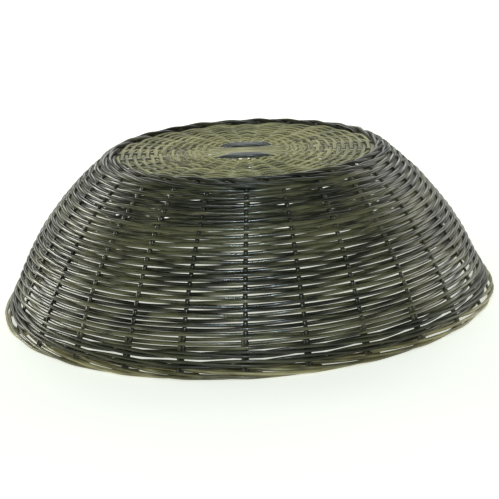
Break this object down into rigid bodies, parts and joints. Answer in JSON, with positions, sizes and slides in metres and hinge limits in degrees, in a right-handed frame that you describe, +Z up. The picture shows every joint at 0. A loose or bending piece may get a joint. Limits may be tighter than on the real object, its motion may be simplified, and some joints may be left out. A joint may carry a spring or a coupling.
{
  "type": "woven fruit basket",
  "caption": "Round woven cane basket with a bowed wall, a rolled border and a flat woven base, kept bottom-up on its rim.",
  "frame": {"origin": "centre of the circle that the rim stands on", "axes": "+Z up from the rim towards the base, because the basket is kept bottom-up; -Y is the front; turn it 180 degrees about X to use it"},
  "size_m": [0.3999, 0.4, 0.126],
  "materials": {
    "stakes": "dark stained cane, satin lacquer",
    "side_weavers": "dark olive-brown stained cane, satin lacquer",
    "base_sticks": "olive-tan stained cane, satin",
    "base_weavers": "olive-grey stained cane, satin",
    "binding": "blue-grey stained cane, satin",
    "wale": "near-black stained cane, glossy",
    "border": "olive-tan stained cane, satin"
  },
  "bodies": {
    "root": {"base_stick_across_1": "base_sticks", "base_stick_across_2": "base_sticks", "base_stick_across_3": "base_sticks", "base_stick_across_4": "base_sticks", "base_stick_across_5": "base_sticks", "base_stick_across_6": "base_sticks", "base_stick_along_1": "base_sticks", "base_stick_along_2": "base_sticks", "base_stick_along_3": "base_sticks", "base_stick_along_4": "base_sticks", "base_stick_along_5": "base_sticks", "base_stick_along_6": "base_sticks", "base_stick_along_7": "base_sticks", "base_weave_inner": "base_weavers", "base_weave_middle": "base_weavers", "base_weave_outer": "base_weavers", "binding_right": "binding", "binding_back": "binding", "binding_left": "binding", "binding_front": "binding", "side_weave_1": "side_weavers", "side_weave_2": "side_weavers", "side_weave_3": "side_weavers", "side_weave_4": "side_weavers", "side_weave_5": "side_weavers", "side_stake_1": "stakes", "side_stake_2": "stakes", "side_stake_3": "stakes", "side_stake_4": "stakes", "side_stake_5": "stakes", "side_stake_6": "stakes", "side_stake_7": "stakes", "side_stake_8": "stakes", "side_stake_9": "stakes", "side_stake_10": "stakes", "side_stake_11": "stakes", "side_stake_12": "stakes", "side_stake_13": "stakes", "side_stake_14": "stakes", "side_stake_15": "stakes", "side_stake_16": "stakes", "side_stake_17": "stakes", "side_stake_18": "stakes", "side_stake_19": "stakes", "side_stake_20": "stakes", "side_stake_21": "stakes", "side_stake_22": "stakes", "side_stake_23": "stakes", "side_stake_24": "stakes", "side_stake_25": "stakes", "side_stake_26": "stakes", "foot_ring": "wale", "upset_wale": "wale", "rim_wale": "wale", "border_outer_rod": "border", "border_inner_rod": "border", "border_foot": "border"}
  },
  "joints": []
}
